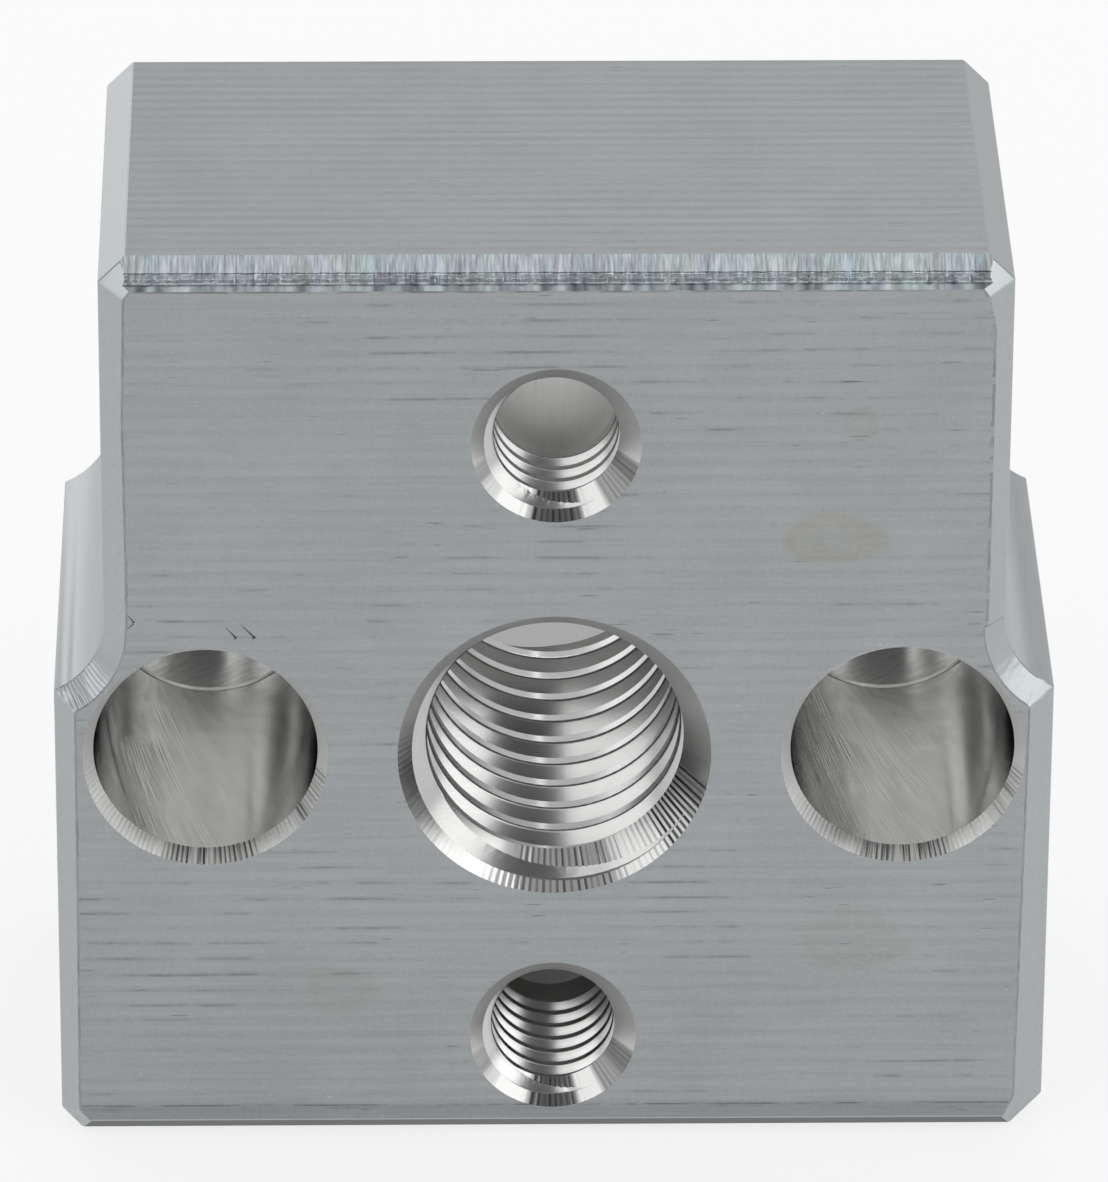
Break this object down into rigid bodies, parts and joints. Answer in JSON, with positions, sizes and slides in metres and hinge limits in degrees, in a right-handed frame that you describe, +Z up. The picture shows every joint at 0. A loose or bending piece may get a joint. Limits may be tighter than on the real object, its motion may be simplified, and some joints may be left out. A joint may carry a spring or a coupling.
{
  "type": "stepped mounting block",
  "caption": "Small milled aluminium block with shoulders on both sides, a threaded hole through its middle, smaller threaded holes above and below it, and a plain blind bore at each side.",
  "frame": {"origin": "middle of the bottom face, on the surface that the block stands on", "axes": "+Z up, -Y out of the front face with the holes, +X to the right of a viewer who looks at the front face"},
  "size_m": [0.0266, 0.0132, 0.0262],
  "materials": {
    "milled_aluminium": "as milled"
  },
  "bodies": {
    "root": {"mounting_block": "milled_aluminium"}
  },
  "joints": []
}
